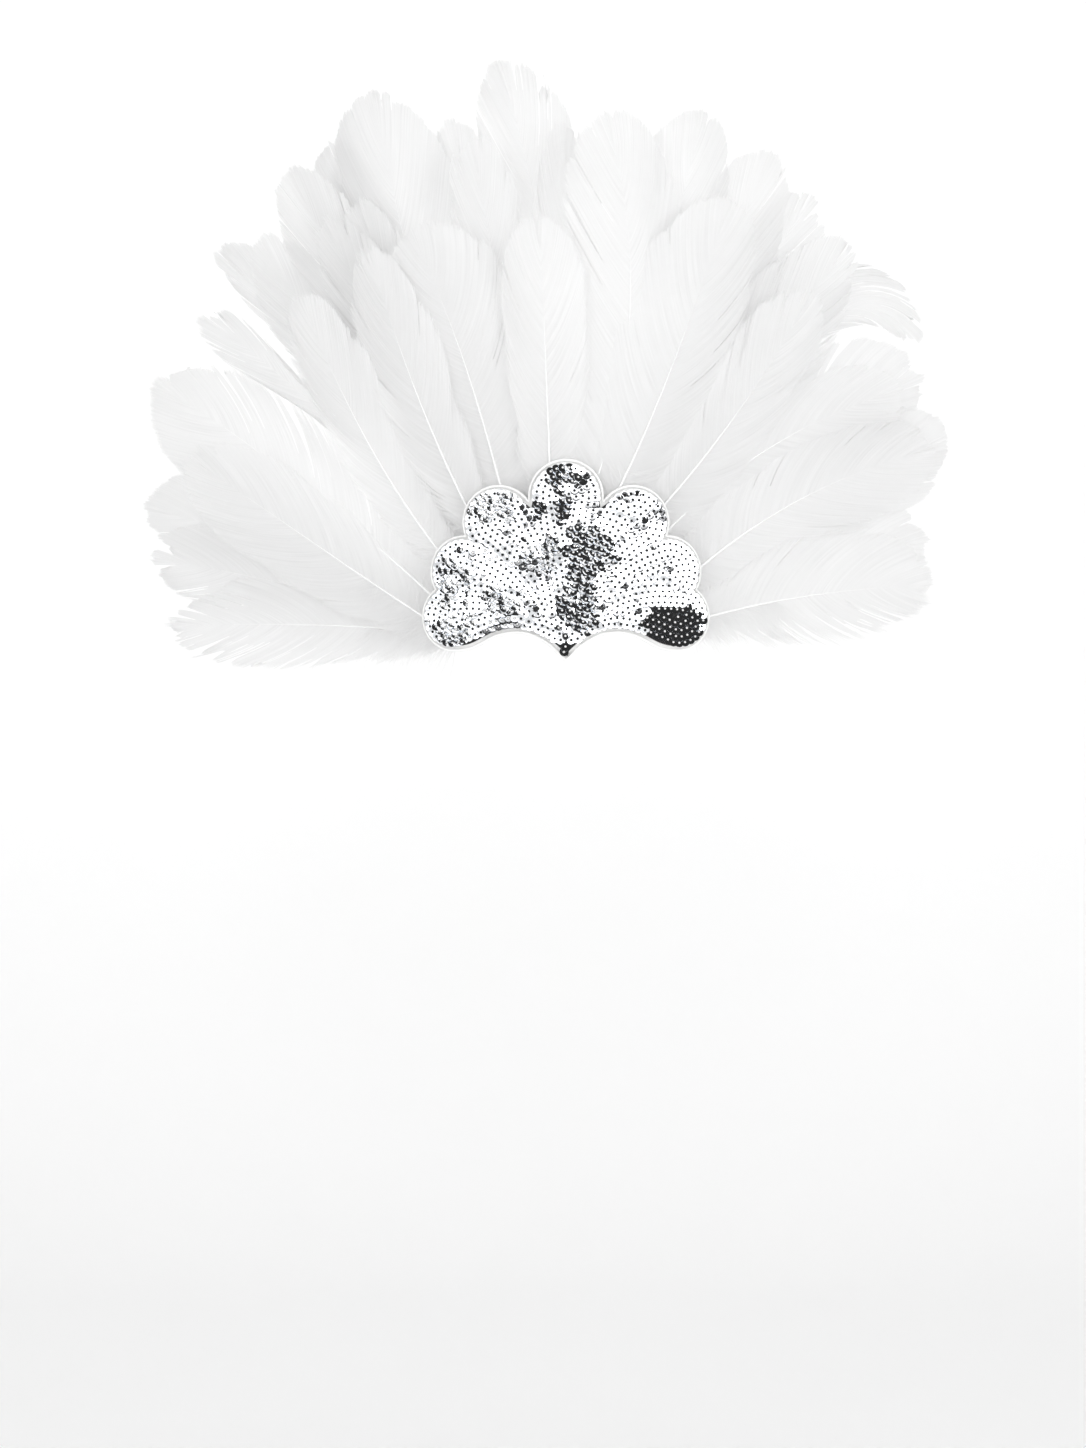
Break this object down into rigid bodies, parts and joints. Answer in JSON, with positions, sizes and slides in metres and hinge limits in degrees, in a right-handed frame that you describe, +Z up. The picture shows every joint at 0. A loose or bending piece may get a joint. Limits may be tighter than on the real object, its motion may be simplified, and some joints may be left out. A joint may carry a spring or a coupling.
{
  "type": "feather headband",
  "caption": "Fan headdress of white feathers fixed behind a scalloped plaque of silver sequins, carried round the head by a plain white elastic band.",
  "frame": {"origin": "centre of the head opening at the mid-height of the elastic band", "axes": "+Z up as worn, -Y the way the plaque faces, +X to the right of someone looking at the plaque"},
  "size_m": [0.4426, 0.2056, 0.3245],
  "materials": {
    "white_felt": "stiffened felt",
    "silver_sequins": "cupped metallised sequins",
    "white_elastic": "woven elastic",
    "white_feather": "goose feather"
  },
  "bodies": {
    "root": {"plaque_board": "white_felt", "sequin_panel": "silver_sequins", "head_band": "white_elastic", "front_feather_01": "white_feather", "front_feather_02": "white_feather", "front_feather_03": "white_feather", "front_feather_04": "white_feather", "front_feather_05": "white_feather", "front_feather_06": "white_feather", "front_feather_07": "white_feather", "front_feather_08": "white_feather", "front_feather_09": "white_feather", "front_feather_10": "white_feather", "front_feather_11": "white_feather", "front_feather_12": "white_feather", "front_feather_13": "white_feather", "front_feather_14": "white_feather", "back_feather_01": "white_feather", "back_feather_02": "white_feather", "back_feather_03": "white_feather", "back_feather_04": "white_feather", "back_feather_05": "white_feather", "back_feather_06": "white_feather", "back_feather_07": "white_feather", "back_feather_08": "white_feather", "back_feather_09": "white_feather", "back_feather_10": "white_feather", "back_feather_11": "white_feather", "back_feather_12": "white_feather", "back_feather_13": "white_feather", "back_feather_14": "white_feather", "back_feather_15": "white_feather", "back_feather_16": "white_feather", "back_feather_17": "white_feather", "back_feather_18": "white_feather", "back_feather_19": "white_feather", "back_feather_20": "white_feather", "back_feather_21": "white_feather"}
  },
  "joints": []
}
